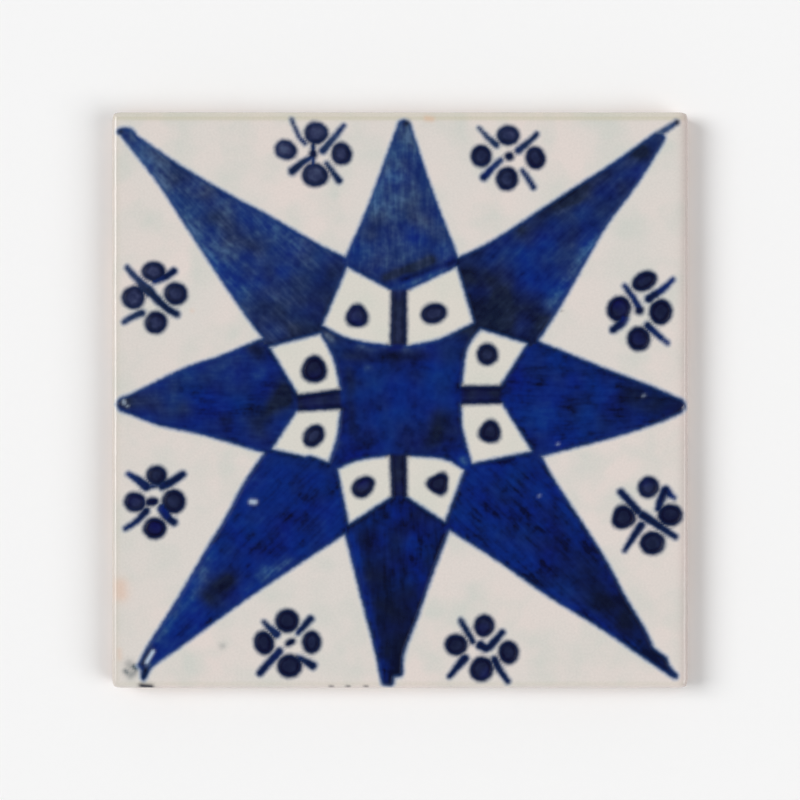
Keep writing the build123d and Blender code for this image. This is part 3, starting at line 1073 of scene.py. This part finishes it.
def bare_clay_material(colours):
    """Pressed earthenware biscuit, fired bare."""
    # The eye gets a dry, dusty buff with darker grains and the soft flashing of the kiln.
    material, tree = blank_material("bare_pressed_earthenware")
    # Flash marks 30 mm wide, pressing marks of 5 mm and grog grains 1.1 mm apart
    for name, kind, width, form, value in (
        ("flash", "TexNoise", 30, "Detail", 3.0),
        ("pressing", "TexNoise", 5, "Detail", 4.0),
        ("grog", "TexVoronoi", 1.1, "Randomness", 1.0),
    ):
        add_node(tree, name, kind, {"Vector": "place.Object", "Scale": 1 / (width * MM), form: value})
    for name, *values in (
        ("flash_share", "flash.Fac", 0.35, 0.7),
        ("press_level", "pressing.Fac", 0.3, 0.7, 0.9, 1.08),
        ("grain_share", "grog.Distance", 0.12, 0.2, 0.5, 0.0),
        ("dryness", "pressing.Fac", 0.0, 1.0, 0.78, 0.95),
    ):
        add_node(tree, name, "MapRange", dict(zip(RANGE_PLACES, values)))
    below = colours.clay
    for name, share, shade in (
        ("flashed", "flash_share.Result", colours.clay_dark),
        ("pressed", 1.0, "press_level.Result"),
        ("grained", "grain_share.Result", colours.clay_dark),
    ):
        add_node(tree, name, "Mix", {0: share, 6: below, 7: shade}, data_type="RGBA")
        below = name + ".2"
    tree.nodes["pressed"].blend_type = "MULTIPLY"
    add_node(tree, "marks", "Bump", {"Height": "pressing.Fac", "Strength": 0.5, "Distance": 0.3 * MM})
    add_node(tree, "grains", "Bump", {
        "Height": "grog.Distance", "Strength": 0.4, "Distance": 0.1 * MM, "Normal": "marks.Normal",
    })
    add_node(tree, "surface", "BsdfPrincipled", {
        "Base Color": "grained.2", "Roughness": "dryness.Result", "IOR": 1.5, "Normal": "grains.Normal",
    })
    add_node(tree, "out", "OutputMaterial", {"Surface": "surface.BSDF"})
    return material


def studio_paper_material(stage):
    """Matt paper of the floor, as it comes off the roll."""
    # The eye gets an even pale ground without gloss, with fibres 2 mm long that barely show.
    material, tree = blank_material("matt_studio_paper")
    add_node(tree, "fibres", "TexNoise", {"Vector": "place.Object", "Scale": 1 / (2 * MM), "Detail": 2.0})
    add_node(tree, "level", "MapRange", {"Value": "fibres.Fac", "To Min": 0.995, "To Max": 1.005})
    paper = {0: 1.0, 6: stage.floor_colour, 7: "level.Result"}
    add_node(tree, "paper", "Mix", paper, data_type="RGBA", blend_type="MULTIPLY")
    add_node(tree, "surface", "BsdfPrincipled", {"Base Color": "paper.2", "Roughness": 0.9, "IOR": 1.5})
    add_node(tree, "out", "OutputMaterial", {"Surface": "surface.BSDF"})
    return material


class STARTILE_OT_stage(bpy.types.Operator):
    """Build the pale floor, the two soft lamps, the dim ceiling and the camera over the tile"""

    bl_idname = "startile.stage"
    bl_label = "Build Stage"
    bl_options = {"REGISTER", "UNDO"}

    def execute(self, context):
        scene = context.scene
        stage = scene.star_tile_stage
        turns = 2 * math.pi * np.arange(FLOOR_SIDES) / FLOOR_SIDES
        radius, level = stage.floor_radius, -FLOOR_GAP * MM
        rim = [(radius * math.cos(turn), radius * math.sin(turn), level) for turn in turns]
        mesh = bpy.data.meshes.new("floor")
        mesh.from_pydata(rim, [], [tuple(range(len(rim)))])
        mesh.materials.append(studio_paper_material(stage))
        floor = show("floor", mesh)

        # Two wide lamps, the stronger from the left, each set by its share of the plain level
        for (name, *degrees), level in zip(LAMPS, (stage.key_level, stage.fill_level)):
            turn, lift, width = (math.radians(angle) for angle in degrees)
            lamp = bpy.data.lights.new(name, "SUN")
            lamp.energy = math.pi * level / math.sin(lift)
            lamp.angle = width
            flat = math.cos(lift)
            toward = Vector((flat * math.cos(turn), flat * math.sin(turn), math.sin(lift)))
            show(name, lamp, toward).rotation_euler = toward.to_track_quat("Z", "Y").to_euler()

        # The room is pale at the horizon and dim overhead, so the level face mirrors little of it
        world = bpy.data.worlds.new("studio")
        world.use_nodes = True
        tree = world.node_tree
        tree.nodes.clear()
        add_node(tree, "way", "TexCoord")
        add_node(tree, "parts", "SeparateXYZ", {"Vector": "way.Generated"})
        heights = ((0.0, "#F4F4F4"), (0.35, "#D9D9D9"), (0.7, "#8A8A8A"), (0.93, "#3C3C3C"))
        add_node(tree, "height", "ValToRGB", {"Fac": "parts.Z"}, heights)
        add_node(tree, "room", "Background", {"Color": "height.Color", "Strength": 1.0})
        add_node(tree, "out", "OutputWorld", {"Surface": "room.Background"})
        scene.world = world

        camera = bpy.data.cameras.new("camera")
        camera.lens = stage.lens
        distance = stage.frame_width * stage.lens / camera.sensor_width
        scene.camera = show("camera", camera, (0, 0, TILE_HIGH.z + distance))
        scene.view_settings.view_transform = "Standard"
        return {"FINISHED"}


class STARTILE_PT_panel(bpy.types.Panel):
    """Settings and buttons of the star tile"""

    bl_label = "Star Tile"
    bl_idname = "STARTILE_PT_panel"
    bl_space_type = "VIEW_3D"
    bl_region_type = "UI"
    bl_category = "Star Tile"

    def draw(self, context):
        scene = context.scene
        for title, group in (
            ("Sizes", scene.star_tile_sizes),
            ("Colours", scene.star_tile_colours),
            ("Stage", scene.star_tile_stage),
        ):
            box = self.layout.box()
            box.label(text=title)
            for name in group.__annotations__:
                box.prop(group, name)
        self.layout.operator("startile.tile")
        self.layout.operator("startile.stage")


CLASSES = (
    StarTileSizes,
    StarTileColours,
    StarTileStage,
    STARTILE_OT_tile,
    STARTILE_OT_stage,
    STARTILE_PT_panel,
)


def register():
    for cls in CLASSES:
        bpy.utils.register_class(cls)
    bpy.types.Scene.star_tile_sizes = bpy.props.PointerProperty(type=StarTileSizes)
    bpy.types.Scene.star_tile_colours = bpy.props.PointerProperty(type=StarTileColours)
    bpy.types.Scene.star_tile_stage = bpy.props.PointerProperty(type=StarTileStage)


def unregister():
    del bpy.types.Scene.star_tile_stage
    del bpy.types.Scene.star_tile_colours
    del bpy.types.Scene.star_tile_sizes
    for cls in reversed(CLASSES):
        bpy.utils.unregister_class(cls)


def main():
    register()
    bpy.ops.startile.stage()
    bpy.ops.startile.tile()


if __name__ == "__main__":
    main()
